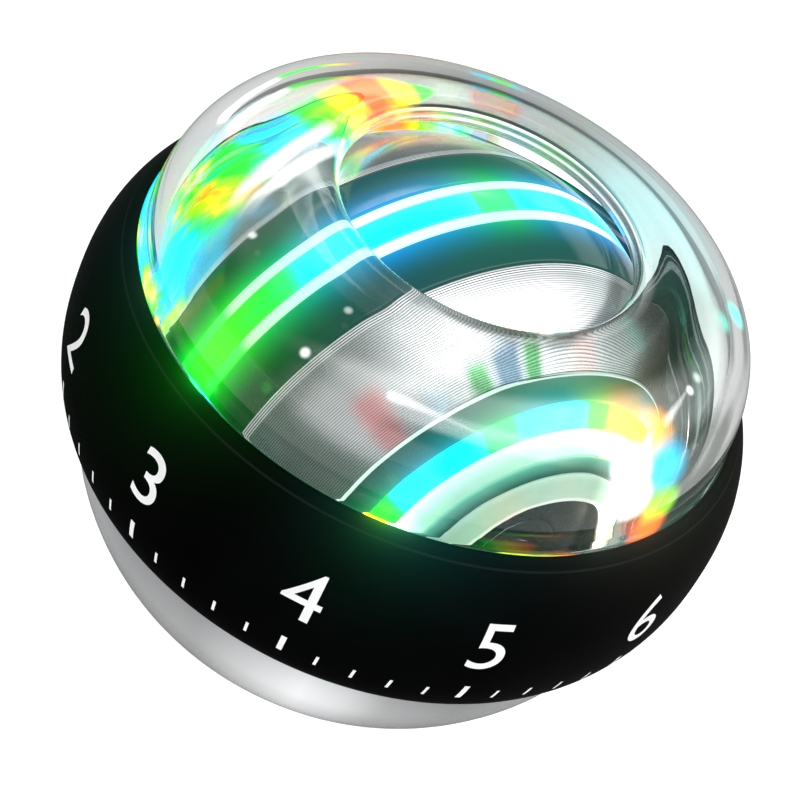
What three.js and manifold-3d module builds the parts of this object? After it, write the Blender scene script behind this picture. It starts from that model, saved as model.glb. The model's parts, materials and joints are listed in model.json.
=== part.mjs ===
// Gyroscopic wrist ball, in millimetres, +Z up.
// The origin is the middle of the flat base, and the ball's centre stands straight above it.
// A heavy wheel spins on a cross axle, which lies along X at rest. The axle's tips run in a
// race round the inside of the casing, and a light guide ring keeps them opposite each other.
import * as THREE from 'three';
import { mergeVertices } from 'three/addons/utils/BufferGeometryUtils.js';
import Module from 'manifold-3d';

const wasm = await Module();
wasm.setup();

// Fineness of the round shapes
const casingSides = 44;
const rotorSides = 32;
const smallSides = 24;
const axleSides = 16;
const domeSteps = 8;
const innerDomeSteps = 6;
const bowlSteps = 7;
const innerBowlSteps = 5;
const lipSteps = 5;
const slotSteps = 6;

// Wheel: its outside is one sphere, and widths are measured along that sphere from its middle
const rotorRadius = 27;
const lightBandHalfWidth = 1.55;
const lightEdgeWidth = 1.2;
const rimWidth = 5.2;
const skinGap = 0.15;

// Wheel: depths below that sphere
const bandDepth = 3.7;
const plateWall = 1.2;
const skinWall = 1.35;
const shelfWall = 1.2;
const hubRingWall = 0.9;

// Flywheel inside the wheel
const flywheelFit = 0.3;
const flywheelHalfWidth = 6.6;
const flywheelRimThickness = 10;
const webHalfWidth = 2.5;
const hubRadius = 4.5;

// Hub cups, one at each end of the wheel
const recessDepth = 7.9;
const recessLedge = 0.3;
const cupWall = 1.2;
const cupFit = 0.2;

// Axle, from its middle out to the tips
const axleRadius = 2;
const stubRadius = 1.5;
const journalRadius = 1.3;
const tipRadius = 1.1;
const axleFit = 0.1;
const tipChamfer = 0.3;

// Guide ring round the wheel
const ringClearance = 1;
const ringThickness = 2.3;
const ringHalfHeight = 2.8;
const runningFit = 0.3;
const journalFit = 0.12;

// Race between the two shells
const tipRaceDepth = 1.7;
const tipFit = 0.15;
const tipEndGap = 0.4;
const raceWall = 1.9;
const raceLipOverlap = 0.4;
const raceLipThickness = 2;

// Shells
const shellWall = 2.2;
const beltTaper = 2;
const mouthRadius = 15.75;
const mouthClearance = 0.98;
const domeFullness = 2.64;
const bowlClearance = 3.3;
const bowlFullness = 1.71;
const footRadius = 12;
const seamGap = 0.1;
const tongueWidth = 0.7;
const tongueHeight = 0.8;
const tongueFit = 0.12;

// Grip
const gripHalfHeight = 11.1;
const gripThickness = 2.15;
const gripEdgeThickness = 1.05;
const gripEdgeRound = 0.3;
const gripFit = 0.15;
const gripFullness = 2.5;

// Circuit boards and lights
const boardThickness = 0.8;
const boardFit = 0.2;
const boardOverhang = 1.5;
const boardEdgeGap = 0.6;
const ledSize = 2.8;
const ledHeight = 1.4;
const ledEdgeGap = 0.6;
const ledFit = 0.1;
const ledsPerBoard = 3;

// Generator: a magnet on the guide ring, inside a coil on the wheel
const sleeveClearance = 0.4;
const sleeveWall = 0.6;
const magnetFit = 0.1;
const magnetThickness = 2.2;
const magnetLength = 5;
const magnetEndGap = 0.9;
const magnetClearance = 0.6;
const collarStep = 0.3;
const saddleHalfWidth = 4.5;
const saddleHalfHeight = 2.5;
const saddleThickness = 1.9;
const saddleSeat = 0.25;
const bobbinLength = 5.6;
const bobbinWall = 0.8;
const bobbinFit = 0.2;
const coilFit = 0.15;
const coilThickness = 2.9;
const coilEdgeGap = 0.3;

// How far a cutting shape runs past what it cuts
const overrun = 1;

// Heights along the belt as shares of the grip's half height
const beltShares = [0, 0.35, 0.7, 1];
const gripShares = [0, 0.3, 0.55, 0.8];

// Where each piece of the wheel's flank ends, as shares of the way from the rim to the recess
const plateEndShare = 0.48;
const capEndShare = 0.602;
const sideLightEndShare = 0.706;
const trimEndShare = 0.809;
const cupRimEndShare = 0.88;

// Radii worked out from the wheel outwards
const ringInner = rotorRadius + ringClearance;
const ringOuter = ringInner + ringThickness;
const pocketOuter = ringOuter + runningFit;
const tipRaceOuter = pocketOuter + tipRaceDepth;
const beltRadius = tipRaceOuter + raceWall;
const beltEdgeRadius = beltRadius - beltTaper;
const innerWallRadius = beltEdgeRadius - shellWall;
const raceLipRadius = ringInner + raceLipOverlap;
const gripRadius = beltRadius + gripFit + gripThickness;
const gripEdgeRadius = beltEdgeRadius + gripFit + gripEdgeThickness;

// Heights above and below the ball's centre
const pocketHalfHeight = ringHalfHeight + runningFit;
const tipRaceHalfHeight = tipRadius + tipFit;
const raceLipTop = pocketHalfHeight + raceLipThickness;
const lipRadius = shellWall / 2;
const lipCentreRadius = mouthRadius + lipRadius;
const lipDistance = rotorRadius + mouthClearance + lipRadius;
const lipCentreHeight = Math.sqrt(lipDistance ** 2 - lipCentreRadius ** 2);
const crestHeight = lipCentreHeight + lipRadius;
const bowlDepth = rotorRadius + bowlClearance + shellWall;
const seamHeight = seamGap / 2;
const tongueInner = (tipRaceOuter + beltRadius - tongueWidth) / 2;
const tongueOuter = tongueInner + tongueWidth;

// Generator from the axle outwards, which sets the radius of the recess that holds it
const sleeveBore = stubRadius + sleeveClearance;
const sleeveOuter = sleeveBore + sleeveWall;
const magnetInner = sleeveOuter + magnetFit;
const magnetOuter = magnetInner + magnetThickness;
const collarRadius = magnetOuter + collarStep;
const bobbinInner = magnetOuter + magnetClearance;
const bobbinCore = bobbinInner + bobbinWall;
const coilInner = bobbinCore + coilFit;
const coilOuter = coilInner + coilThickness;
const bobbinFlange = coilOuter + coilEdgeGap;
const recessRadius = bobbinFlange + bobbinFit;
const cupOuter = recessRadius + cupWall;

// Edges of the wheel's outer pieces, along the sphere from its middle
const lightEdgeEnd = lightBandHalfWidth + lightEdgeWidth;
const rimEnd = lightEdgeEnd + rimWidth;
const hubRingEnd = rotorRadius * Math.acos((recessRadius + recessLedge) / rotorRadius);
const flankPlace = (share) => rimEnd + (hubRingEnd - rimEnd) * share;
const plateEnd = flankPlace(plateEndShare);
const capEnd = flankPlace(capEndShare);
const sideLightEnd = flankPlace(sideLightEndShare);
const trimEnd = flankPlace(trimEndShare);
const cupRimEnd = flankPlace(cupRimEndShare);

// A point of the wheel's section: how far along the sphere, and how deep below it
function skinPoint(along, depth) {
  const angle = along / rotorRadius;
  const radius = rotorRadius - depth;
  return [radius * Math.cos(angle), radius * Math.sin(angle)];
}

// Distance along the axle of a point on the sphere, and the radius at such a distance
const axialPlace = (along) => skinPoint(along, 0)[1];
const sphereRadiusAt = (x, depth) => Math.sqrt((rotorRadius - depth) ** 2 - x ** 2);

const bandInner = rotorRadius - bandDepth;
const shelfDepth = skinWall + skinGap;
const flangeDepth = shelfDepth + shelfWall;
const hubSeatDepth = hubRingWall + skinGap;
const cupFloor = axialPlace(hubRingEnd) - recessDepth;
const flywheelRadius = bandInner - flywheelFit;
const flywheelRimInner = flywheelRadius - flywheelRimThickness;
const axleBore = axleRadius + axleFit;

// Axle stations
const journalStart = ringInner - runningFit;
const journalEnd = ringOuter + axleFit;
const tipReach = tipRaceOuter - tipEndGap;

// Boards and lights
const boardInnerFace = flywheelHalfWidth + boardFit;
const boardOuterFace = boardInnerFace + boardThickness;
const boardInner = flywheelRimInner - boardOverhang;
const boardOuter = flywheelRadius - boardEdgeGap;
const ledDistance = boardOuter - ledEdgeGap - ledSize / 2;
const ledCentre = boardOuterFace + ledFit + ledHeight / 2;

// Generator along the axle
const magnetStart = cupFloor + magnetEndGap;
const magnetStop = magnetStart + magnetLength;
const saddleEnd = Math.sqrt(ringInner ** 2 - saddleHalfWidth ** 2) - saddleSeat;
const bobbinStart = cupFloor + bobbinFit;
const bobbinEnd = bobbinStart + bobbinLength;

// Finishes
const finish = (color, roughness, metalness, opacity) => new THREE.MeshStandardMaterial({
  color,
  roughness,
  metalness,
  opacity: opacity ?? 1,
  transparent: opacity !== undefined,
});
const clearPlastic = () => finish(0xe4edf0, 0.05, 0, 0.3);
const frostedPlastic = () => finish(0xd2d6d8, 0.3, 0, 0.7);
const blackRubber = () => finish(0x0b0b0c, 0.45, 0);
const smokePlastic = () => finish(0x0c2622, 0.12, 0);
const blackPlastic = () => finish(0x141312, 0.35, 0);
const whitePlastic = () => finish(0xf1f6f4, 0.25, 0);
const mintPlastic = () => finish(0xa9d8c6, 0.3, 0);
const bandPlastic = () => finish(0x27e3b8, 0.2, 0);
const sideGlowPlastic = () => finish(0x55e08a, 0.2, 0);
const spunAluminium = () => finish(0xb9bcbe, 0.3, 0.9);
const castZinc = () => finish(0x8b8e90, 0.55, 0.7);
const steel = () => finish(0xc3c6c8, 0.25, 1);
const boardGreen = () => finish(0x1c5a36, 0.5, 0);
const copper = () => finish(0xb4652c, 0.3, 0.9);
const ledWhite = () => finish(0xfff6d8, 0.2, 0);

// Twice the area that an outline goes round, positive where it runs counter-clockwise
function turnOf(outline) {
  return outline.reduce((sum, [r, h], i) => {
    const [nextR, nextH] = outline[(i + 1) % outline.length];
    return sum + r * nextH - nextR * h;
  }, 0);
}

// Joins shared corners and drops the faces that shrink to a line on the axis
function welded(geometry) {
  geometry.deleteAttribute('normal');
  geometry.deleteAttribute('uv');
  const joined = mergeVertices(geometry);
  const corners = joined.index.array;
  const kept = [];
  for (let i = 0; i < corners.length; i += 3) {
    const [a, b, c] = [corners[i], corners[i + 1], corners[i + 2]];
    if (a !== b && b !== c && c !== a) kept.push(a, b, c);
  }
  joined.setIndex(kept);
  joined.computeVertexNormals();
  return joined;
}

// Turns an outline of [radius, height] points round the Z axis
function turnedOnZ(outline, sides) {
  const ordered = turnOf(outline) > 0 ? outline : [...outline].reverse();
  const points = ordered.map(([r, h]) => new THREE.Vector2(r, h));
  const startsOnAxis = ordered.findIndex(([r], i) => r === 0 && ordered.at(i - 1)[0] === 0);
  const turned = startsOnAxis < 0
    ? [...points, points[0].clone()]
    : [...points.slice(startsOnAxis), ...points.slice(0, startsOnAxis)];
  return welded(new THREE.LatheGeometry(turned, sides).rotateX(Math.PI / 2));
}

// Turns the same kind of outline round the X axis, on the side where heights run to +X or to -X
function turnedOnX(outline, sides, side = 1) {
  const placed = outline.map(([r, h]) => [r, h * side]);
  return turnedOnZ(placed, sides).rotateY(Math.PI / 2);
}

const toSolid = (geometry) => new wasm.Manifold(new wasm.Mesh({
  numProp: 3,
  vertProperties: geometry.attributes.position.array,
  triVerts: Uint32Array.from(geometry.index.array),
}));

function toGeometry(solid) {
  const mesh = solid.getMesh();
  const geometry = new THREE.BufferGeometry();
  geometry.setAttribute('position', new THREE.BufferAttribute(mesh.vertProperties, 3));
  geometry.setIndex(new THREE.BufferAttribute(mesh.triVerts, 1));
  geometry.computeVertexNormals();
  return geometry;
}

// Outline of a superellipse quarter, from its side to its crest
function fullQuarter([sideR, sideH], [crestR, crestH], fullness, steps) {
  const points = [];
  for (let i = 0; i <= steps; i += 1) {
    const angle = (i / steps) * (Math.PI / 2);
    const out = i === steps ? 0 : Math.cos(angle) ** (2 / fullness);
    const up = Math.sin(angle) ** (2 / fullness);
    points.push([crestR + (sideR - crestR) * out, sideH + (crestH - sideH) * up]);
  }
  return points;
}

// A round stretch of an outline, with angles from the outward direction
function roundStretch([centreR, centreH], radius, from, to, steps) {
  const points = [];
  for (let i = 0; i <= steps; i += 1) {
    const angle = from + (to - from) * (i / steps);
    points.push([centreR + radius * Math.cos(angle), centreH + radius * Math.sin(angle)]);
  }
  return points;
}

// Belt: the shells' outside under the grip
const beltRadiusAt = (share) => beltRadius - beltTaper * share ** 2;
const beltOutline = beltShares.map((share) => [
  beltRadiusAt(share),
  Math.max(share * gripHalfHeight, seamHeight),
]);

// Half of the race, from the inside wall down to the seam
const raceOutline = [
  [innerWallRadius, raceLipTop],
  [raceLipRadius, raceLipTop],
  [raceLipRadius, pocketHalfHeight],
  [pocketOuter, pocketHalfHeight],
  [pocketOuter, tipRaceHalfHeight],
  [tipRaceOuter, tipRaceHalfHeight],
  [tipRaceOuter, seamHeight],
];

const underside = (outline) => outline.map(([r, h]) => [r, -h]);

// Upper shell: a clear dome with a rolled mouth, through which the wheel is reached
function upperShell() {
  const grooveInner = tongueInner - tongueFit;
  const grooveOuter = tongueOuter + tongueFit;
  const grooveTop = seamHeight + tongueHeight + tongueFit;
  const lipCentre = [lipCentreRadius, lipCentreHeight];
  const outside = fullQuarter(
    [beltEdgeRadius, gripHalfHeight],
    [lipCentreRadius, crestHeight],
    domeFullness,
    domeSteps,
  );
  const inside = fullQuarter(
    [innerWallRadius, gripHalfHeight],
    [lipCentreRadius, crestHeight - shellWall],
    domeFullness,
    innerDomeSteps,
  );
  return turnedOnZ([
    ...beltOutline,
    ...outside.slice(1),
    ...roundStretch(lipCentre, lipRadius, Math.PI / 2, 3 * Math.PI / 2, lipSteps).slice(1, -1),
    ...inside.reverse(),
    ...raceOutline,
    [grooveInner, seamHeight],
    [grooveInner, grooveTop],
    [grooveOuter, grooveTop],
    [grooveOuter, seamHeight],
  ], casingSides);
}

// Lower shell: a closed bowl with a flat foot and a tongue that enters the upper shell
function lowerShell() {
  const tongueTop = tongueHeight - seamHeight;
  const outside = fullQuarter(
    [beltEdgeRadius, gripHalfHeight],
    [footRadius, bowlDepth],
    bowlFullness,
    bowlSteps,
  );
  const inside = fullQuarter(
    [innerWallRadius, gripHalfHeight],
    [footRadius, bowlDepth - shellWall],
    bowlFullness,
    innerBowlSteps,
  );
  return turnedOnZ([
    [0, -bowlDepth],
    ...underside(outside.reverse()),
    ...underside(beltOutline).reverse().slice(1),
    [tongueOuter, -seamHeight],
    [tongueOuter, tongueTop],
    [tongueInner, tongueTop],
    [tongueInner, -seamHeight],
    ...underside(raceOutline).reverse(),
    ...underside(inside),
    [0, shellWall - bowlDepth],
  ], casingSides);
}

// Grip: a rubber band stretched over both shells
function gripBand() {
  const upperOutside = gripShares.map((share) => [
    gripRadius - (gripRadius - gripEdgeRadius) * share ** gripFullness,
    share * gripHalfHeight,
  ]);
  const upperEdge = [
    [gripEdgeRadius, gripHalfHeight - gripEdgeRound],
    [gripEdgeRadius - gripEdgeRound, gripHalfHeight],
  ];
  const upperInside = beltShares.map((share) => [beltRadiusAt(share) + gripFit, share * gripHalfHeight]);
  const upper = [...upperOutside, ...upperEdge, ...upperInside.reverse()];
  return turnedOnZ([...upper, ...underside(upper).reverse().slice(1, -1)], casingSides);
}

// Guide ring: a thin ring with a slot at each end of the axle, open downwards
function guideRing() {
  const ring = toSolid(turnedOnZ([
    [ringInner, -ringHalfHeight],
    [ringOuter, -ringHalfHeight],
    [ringOuter, ringHalfHeight],
    [ringInner, ringHalfHeight],
  ], casingSides));
  const slotHalfWidth = journalRadius + journalFit;
  const slotFoot = ringHalfHeight + overrun;
  const slot = new THREE.Shape();
  slot.moveTo(slotFoot, -slotHalfWidth);
  slot.lineTo(slotFoot, slotHalfWidth);
  slot.lineTo(0, slotHalfWidth);
  slot.absarc(0, 0, slotHalfWidth, Math.PI / 2, 3 * Math.PI / 2, false);
  const reach = ringOuter + overrun;
  const cutter = new THREE.ExtrudeGeometry(slot, {
    depth: reach * 2,
    bevelEnabled: false,
    curveSegments: slotSteps,
  });
  cutter.translate(0, 0, -reach);
  cutter.rotateY(Math.PI / 2);
  return toGeometry(ring.subtract(toSolid(welded(cutter))));
}

// Magnet holder: a sleeve round the axle, on a saddle that seats on the guide ring
function magnetHolder() {
  const sleeve = turnedOnX([
    [sleeveBore, magnetStart],
    [sleeveOuter, magnetStart],
    [sleeveOuter, magnetStop + magnetFit],
    [collarRadius, magnetStop + magnetFit],
    [collarRadius, saddleEnd],
    [sleeveBore, saddleEnd],
  ], smallSides);
  const saddle = new THREE.BoxGeometry(saddleThickness, saddleHalfWidth * 2, saddleHalfHeight * 2);
  saddle.translate(saddleEnd - saddleThickness / 2, 0, 0);
  const bore = turnedOnX([
    [0, magnetStart],
    [sleeveBore, magnetStart],
    [sleeveBore, saddleEnd + overrun],
    [0, saddleEnd + overrun],
  ], smallSides);
  return toGeometry(toSolid(sleeve).add(toSolid(welded(saddle))).subtract(toSolid(bore)));
}

const ringMagnet = () => turnedOnX([
  [magnetInner, magnetStart],
  [magnetOuter, magnetStart],
  [magnetOuter, magnetStop],
  [magnetInner, magnetStop],
], smallSides);

// Axle: one steel rod, stepped down towards each tip
function axle() {
  const half = [
    [axleRadius, cupFloor - cupFit],
    [stubRadius, cupFloor - cupFit],
    [stubRadius, journalStart],
    [journalRadius, journalStart],
    [journalRadius, journalEnd],
    [tipRadius, journalEnd],
    [tipRadius, tipReach - tipChamfer],
    [tipRadius - tipChamfer, tipReach],
    [0, tipReach],
  ];
  return turnedOnX([...half, ...underside(half).reverse()], axleSides);
}

// Flywheel: the heavy casting that fills the wheel
function flywheel() {
  const half = [
    [flywheelRadius, flywheelHalfWidth],
    [flywheelRimInner, flywheelHalfWidth],
    [flywheelRimInner, webHalfWidth],
    [hubRadius, webHalfWidth],
    [hubRadius, cupFloor],
    [axleBore, cupFloor],
  ];
  return turnedOnX([...half, ...underside(half).reverse()], rotorSides);
}

// A ring of the wheel's middle, between two places along the axle
function middleRing(from, to, steps) {
  const outside = [];
  for (let i = 0; i <= steps; i += 1) {
    const x = from + (to - from) * (i / steps);
    outside.push([sphereRadiusAt(x, 0), x]);
  }
  return [[bandInner, from], ...outside, [bandInner, to]];
}

const halfGap = skinGap / 2;
const lightBandX = axialPlace(lightBandHalfWidth);
const lightEdgeX = axialPlace(lightEdgeEnd);
const rimX = axialPlace(rimEnd);
const lightBandOutline = middleRing(halfGap - lightBandX, lightBandX - halfGap, 2);
const lightEdgeOutline = middleRing(lightBandX + halfGap, lightEdgeX - halfGap, 1);
const rimOutline = middleRing(lightEdgeX + halfGap, rimX - halfGap, 3);

// A band of the wheel's skin, between two places along the sphere
function skinBand(from, to, outerDepth, innerDepth, steps) {
  const places = [];
  for (let i = 0; i <= steps; i += 1) {
    places.push(from + halfGap + (to - from - skinGap) * (i / steps));
  }
  const outside = places.map((along) => skinPoint(along, outerDepth));
  const inside = places.map((along) => skinPoint(along, innerDepth)).reverse();
  return [...outside, ...inside];
}

// Side plate: a spun bowl whose wide edge is cut square against the rim
function sidePlateOutline() {
  const squareX = rimX + halfGap;
  const band = skinBand(rimEnd, plateEnd, 0, plateWall, 5);
  const outerCorner = [sphereRadiusAt(squareX, 0), squareX];
  const innerCorner = [sphereRadiusAt(squareX, plateWall), squareX];
  return [outerCorner, ...band.slice(1, -1), innerCorner];
}

// Side cap: the dark ring outside the side light, with a shelf under the light and its trim
function sideCapOutline() {
  const start = plateEnd + halfGap;
  const shelfEnd = trimEnd - halfGap;
  const shelfMiddle = (capEnd + shelfEnd) / 2;
  return [
    skinPoint(start, 0),
    skinPoint(capEnd - halfGap, 0),
    skinPoint(capEnd - halfGap, shelfDepth),
    skinPoint(shelfMiddle, shelfDepth),
    skinPoint(shelfEnd, shelfDepth),
    skinPoint(shelfEnd, flangeDepth),
    skinPoint(shelfMiddle, flangeDepth),
    skinPoint(start, flangeDepth),
  ];
}

// Hub cup: closes the wheel's end, carries the hub ring and holds the recess round the axle
function hubCupOutline() {
  const start = trimEnd + halfGap;
  const step = cupRimEnd - halfGap;
  return [
    skinPoint(start, 0),
    skinPoint(step, 0),
    skinPoint(step, hubSeatDepth),
    [recessRadius, sphereRadiusAt(recessRadius, hubSeatDepth)],
    [recessRadius, cupFloor],
    [hubRadius + cupFit, cupFloor],
    [hubRadius + cupFit, cupFloor - cupWall],
    [cupOuter, cupFloor - cupWall],
    [cupOuter, sphereRadiusAt(cupOuter, flangeDepth)],
    skinPoint(start, flangeDepth),
  ];
}

const boardOutline = [
  [boardInner, boardInnerFace],
  [boardOuter, boardInnerFace],
  [boardOuter, boardOuterFace],
  [boardInner, boardOuterFace],
];

// Bobbin and the coil wound on it, in the recess round the magnet
const bobbinOutline = [
  [bobbinInner, bobbinStart],
  [bobbinFlange, bobbinStart],
  [bobbinFlange, bobbinStart + bobbinWall],
  [bobbinCore, bobbinStart + bobbinWall],
  [bobbinCore, bobbinEnd - bobbinWall],
  [bobbinFlange, bobbinEnd - bobbinWall],
  [bobbinFlange, bobbinEnd],
  [bobbinInner, bobbinEnd],
];
const coilOutline = [
  [coilInner, bobbinStart + bobbinWall + coilFit],
  [coilOuter, bobbinStart + bobbinWall + coilFit],
  [coilOuter, bobbinEnd - bobbinWall - coilFit],
  [coilInner, bobbinEnd - bobbinWall - coilFit],
];

function addPiece(group, name, geometry, material) {
  const mesh = new THREE.Mesh(geometry, material);
  mesh.name = name;
  group.add(mesh);
}

// Casing: what the hand holds
const casing = new THREE.Group();
addPiece(casing, 'upper_shell', upperShell(), clearPlastic());
addPiece(casing, 'lower_shell', lowerShell(), frostedPlastic());
addPiece(casing, 'grip_band', gripBand(), blackRubber());

// Ring: what turns round the casing's middle
const ring = new THREE.Group();
addPiece(ring, 'guide_ring', guideRing(), blackPlastic());
addPiece(ring, 'magnet_holder', magnetHolder(), blackPlastic());
addPiece(ring, 'ring_magnet', ringMagnet(), steel());

// Wheel: what spins on the ring
const rotor = new THREE.Group();
addPiece(rotor, 'axle', axle(), steel());
addPiece(rotor, 'flywheel', flywheel(), castZinc());
addPiece(rotor, 'light_band', turnedOnX(lightBandOutline, rotorSides), bandPlastic());
addPiece(rotor, 'coil_bobbin', turnedOnX(bobbinOutline, smallSides), blackPlastic());
addPiece(rotor, 'pickup_coil', turnedOnX(coilOutline, smallSides), copper());

const sidePieces = [
  ['light_edge', lightEdgeOutline, whitePlastic],
  ['rim', rimOutline, smokePlastic],
  ['side_plate', sidePlateOutline(), spunAluminium],
  ['side_cap', sideCapOutline(), smokePlastic],
  ['side_light', skinBand(capEnd, sideLightEnd, 0, skinWall, 1), sideGlowPlastic],
  ['side_trim', skinBand(sideLightEnd, trimEnd, 0, skinWall, 1), whitePlastic],
  ['hub_cup', hubCupOutline(), blackPlastic],
  ['hub_ring', skinBand(cupRimEnd, hubRingEnd, 0, hubRingWall, 1), mintPlastic],
  ['led_board', boardOutline, boardGreen],
];
const sides = [['right', 1], ['left', -1]];

for (const [sideName, side] of sides) {
  for (const [pieceName, outline, material] of sidePieces) {
    addPiece(rotor, `${pieceName}_${sideName}`, turnedOnX(outline, rotorSides, side), material());
  }
  for (let i = 0; i < ledsPerBoard; i += 1) {
    const angle = (i / ledsPerBoard) * 2 * Math.PI;
    const led = new THREE.BoxGeometry(ledHeight, ledSize, ledSize);
    led.translate(ledCentre * side, 0, ledDistance);
    led.rotateX(angle);
    addPiece(rotor, `led_${sideName}_${i + 1}`, welded(led), ledWhite());
  }
}

const wristBall = new THREE.Group();
wristBall.add(casing, ring, rotor);
wristBall.position.z = bowlDepth;

export default wristBall;
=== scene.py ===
"""Gyroscopic wrist ball: fine surfaces, materials, lights and camera around the fixed frame."""
import json
import math

import bmesh
import bpy
import numpy as np
from mathutils import Matrix, Vector

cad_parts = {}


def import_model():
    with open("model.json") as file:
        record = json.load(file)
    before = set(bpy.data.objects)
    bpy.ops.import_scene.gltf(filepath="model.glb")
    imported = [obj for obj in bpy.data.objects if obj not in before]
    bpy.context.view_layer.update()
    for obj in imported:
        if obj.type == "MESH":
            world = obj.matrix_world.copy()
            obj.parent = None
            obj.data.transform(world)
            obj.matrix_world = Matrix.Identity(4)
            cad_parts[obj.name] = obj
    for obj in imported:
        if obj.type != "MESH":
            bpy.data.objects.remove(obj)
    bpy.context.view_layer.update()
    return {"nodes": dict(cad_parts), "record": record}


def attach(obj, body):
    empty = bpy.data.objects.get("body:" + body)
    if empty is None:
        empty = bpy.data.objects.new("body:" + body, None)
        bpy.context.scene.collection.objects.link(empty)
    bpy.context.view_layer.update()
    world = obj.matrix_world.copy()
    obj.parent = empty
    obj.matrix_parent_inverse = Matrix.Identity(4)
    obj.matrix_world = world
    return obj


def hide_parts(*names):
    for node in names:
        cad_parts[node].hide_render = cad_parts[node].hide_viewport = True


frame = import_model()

MM = 0.001
CENTRE_HEIGHT = 32.5 * MM
ROTOR_RADIUS = 27 * MM
GRIP_RADIUS = 36.5 * MM
# Height of a painted highlight line round the grip just under its top edge
GRIP_HIGHLIGHT_LINE_HEIGHT = 42.75 * MM
GRIP_INSET = 0.0016  # Shares of the radius, so that the surface stays inside the CAD box
BAND_INSET = 0.0002
BODIES = {
    node: body
    for body, nodes in frame["record"]["behaviour"]["bodies"].items()
    for node in nodes
}


# Outlines: the section of a turned node, made finer and spun again with many more sides

SAME_POINT = 0.02 * MM
KEPT_WITHIN = 0.05 * MM
ON_AXIS = 1e-7
MOST_ROUNDED = 0.3  # Share of a stretch that the rounding of a corner may take up
CLEAR_OF_CORNER = 2.2  # Distance of other points from a corner, in roundings


def section(node, axis):
    """The closed outline of a turned node as [radius, height] points, in order."""
    mesh = frame["nodes"][node].data
    spots = np.array([v.co for v in mesh.vertices], float)
    if axis == "x":
        radius = np.hypot(spots[:, 1], spots[:, 2] - CENTRE_HEIGHT)
        height = spots[:, 0]
    else:
        radius = np.hypot(spots[:, 0], spots[:, 1])
        height = spots[:, 2]
    found, corner_of = [], []
    for r, h in zip(radius, height):
        same = [i for i, p in enumerate(found) if math.dist(p, (r, h)) < SAME_POINT]
        if not same:
            found.append((float(r), float(h)))
        corner_of.append(same[0] if same else len(found) - 1)
    joined = {}
    for edge in mesh.edges:
        a, b = (corner_of[v] for v in edge.vertices)
        if a != b:
            joined.setdefault(a, set()).add(b)
            joined.setdefault(b, set()).add(a)
    ends = [p for p, others in joined.items() if len(others) == 1]
    path = [min(ends) if ends else min(joined)]
    while True:
        onward = [p for p in sorted(joined[path[-1]]) if p not in path]
        if not onward:
            break
        path.append(onward[0])
    if len(path) != len(joined):
        raise ValueError(f"{node}: outline of {len(path)} points from {len(joined)}")
    return np.array([found[i] for i in path]), bool(ends)


def spline(points, steps):
    """Points on a smooth curve with even curvature through the given ones."""
    if len(points) < 3:
        return points
    gaps = np.linalg.norm(np.diff(points, axis=0), axis=1)
    n = len(points)
    system = np.zeros((n, n))
    right = np.zeros((n, 2))
    system[0, :2] = 2, 1
    system[-1, -2:] = 1, 2
    right[0] = 3 * (points[1] - points[0]) / gaps[0]
    right[-1] = 3 * (points[-1] - points[-2]) / gaps[-1]
    for i in range(1, n - 1):
        before, after = gaps[i - 1], gaps[i]
        system[i, i - 1:i + 2] = after, 2 * (before + after), before
        right[i] = 3 * (
            after / before * (points[i] - points[i - 1])
            + before / after * (points[i + 1] - points[i])
        )
    slopes = np.linalg.solve(system, right)
    result = [points[0]]
    for i in range(n - 1):
        for step in range(1, steps + 1):
            t = step / steps
            a = (1 + 2 * t) * (1 - t) ** 2
            b = t * (1 - t) ** 2
            c = t * t * (3 - 2 * t)
            d = t * t * (t - 1)
            bend = gaps[i] * (b * slopes[i] + d * slopes[i + 1])
            result.append(a * points[i] + c * points[i + 1] + bend)
    return np.array(result)


def turn_at(before, here, after):
    a, b = here - before, after - here
    cosine = np.dot(a, b) / (np.linalg.norm(a) * np.linalg.norm(b))
    return math.degrees(math.acos(max(-1, min(1, cosine))))


def lengths_along(curve):
    return np.concatenate([[0], np.cumsum(np.linalg.norm(np.diff(curve, axis=0), axis=1))])


def point_along(curve, along, place):
    return np.array([np.interp(place, along, curve[:, 0]), np.interp(place, along, curve[:, 1])])


def sharp_corners(points, open_ended, corner, kept):
    """For each point, whether the outline turns there by more than corner degrees, or is kept."""
    n = len(points)
    sharp = []
    for i, point in enumerate(points):
        if open_ended and i in (0, 1, n - 2, n - 1):
            sharp.append(True)
        elif any(math.dist(point, spot) < KEPT_WITHIN for spot in kept):
            sharp.append(True)
        else:
            sharp.append(turn_at(points[i - 1], point, points[(i + 1) % n]) > corner)
    return sharp


def smooth_stretches(points, sharp, open_ended, steps):
    """The smooth curves between the sharp corners, in order."""
    first = sharp.index(True)
    order = list(range(first, len(points))) + list(range(first))
    onward = order[1:] + [order[0]]
    if open_ended:
        order = list(range(len(points)))
        onward = order[1:]
    curves, stretch = [], [order[0]]
    for i in onward:
        stretch.append(i)
        if sharp[i]:
            curve = spline(points[stretch], steps)
            curves.append(curve if len(curve) > 2 else np.linspace(curve[0], curve[1], 3))
            stretch = [i]
    return curves


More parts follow.
